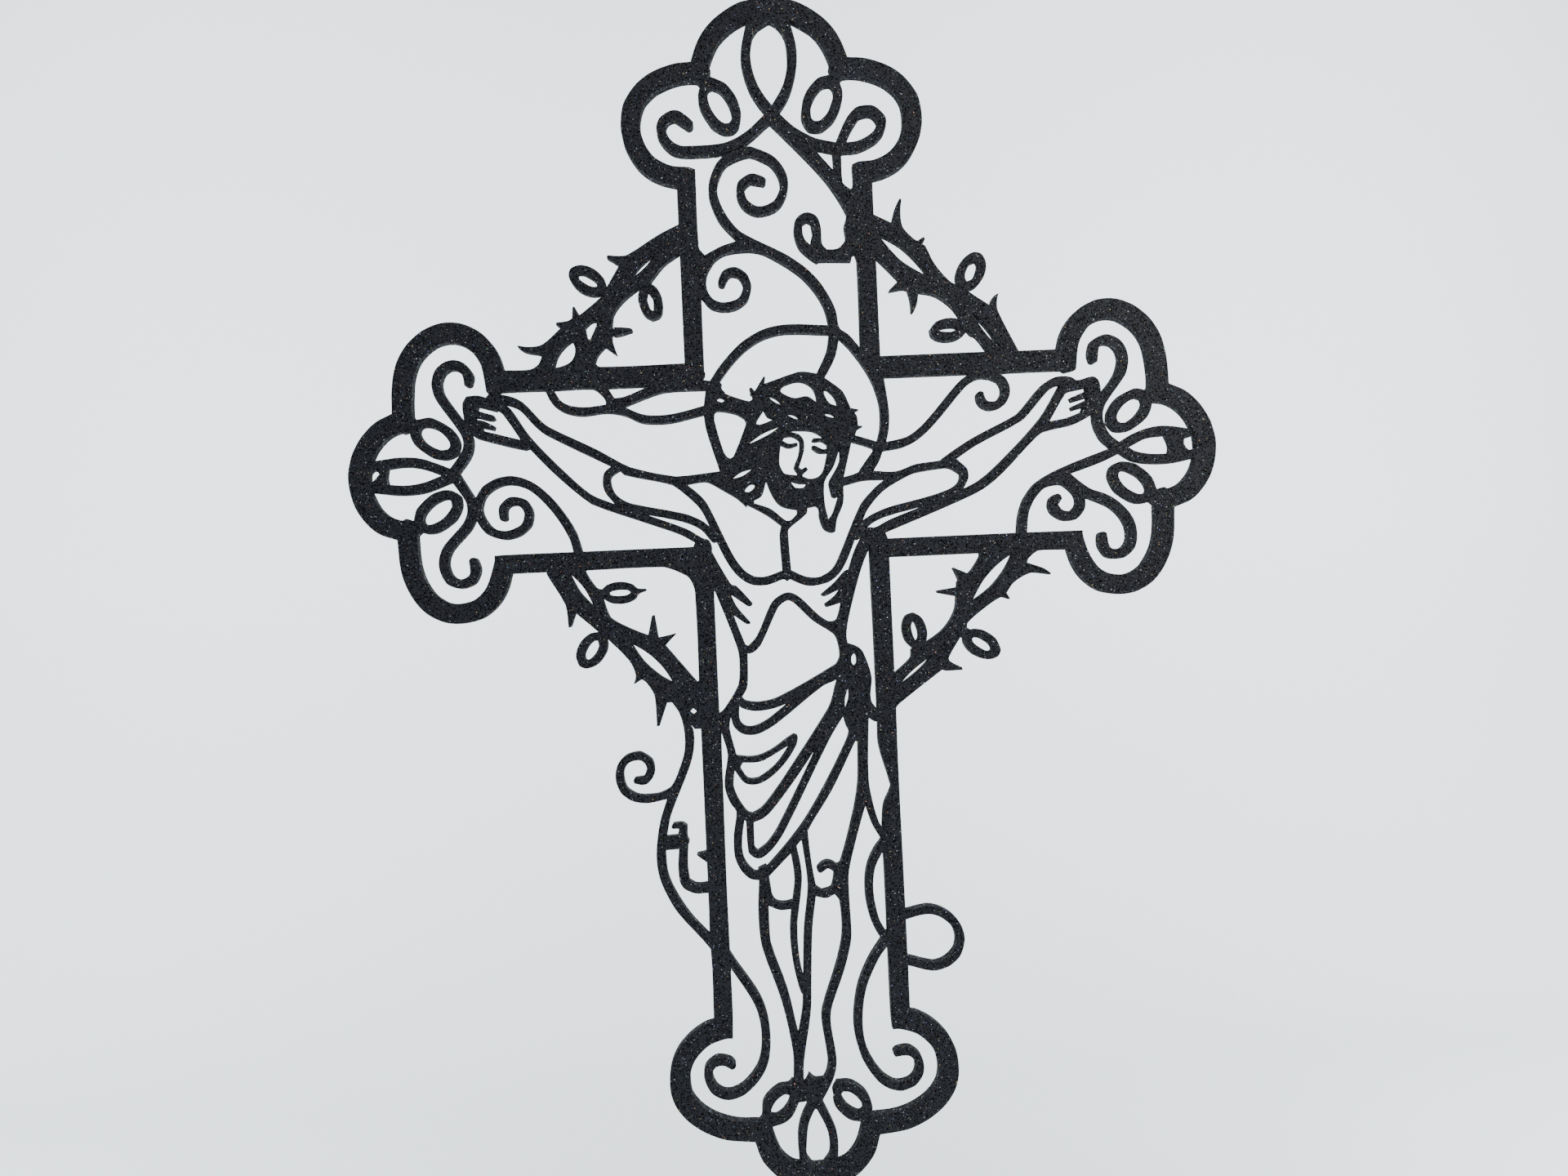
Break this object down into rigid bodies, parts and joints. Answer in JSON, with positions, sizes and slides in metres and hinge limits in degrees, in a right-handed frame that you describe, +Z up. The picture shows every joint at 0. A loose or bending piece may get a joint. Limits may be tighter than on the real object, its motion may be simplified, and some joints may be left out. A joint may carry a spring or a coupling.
{
  "type": "wall crucifix",
  "caption": "Flat openwork wall crucifix: a three-lobed cross frame holding a drawn Christ figure, scrolls, a halo and thorn vines, hung by an eye at the top.",
  "frame": {"origin": "on the flat back, at the point where the plate hangs, in the rim just above the eye at the top of the frame", "axes": "+Z up, +X to the viewer's right, the front faces -Y and the flat back faces +Y, towards the wall"},
  "size_m": [0.183, 0.003, 0.25],
  "materials": {
    "plate": "near-black plastic filled with fine silver glitter, smooth satin front"
  },
  "bodies": {
    "root": {"crucifix_plate": "plate"}
  },
  "joints": []
}
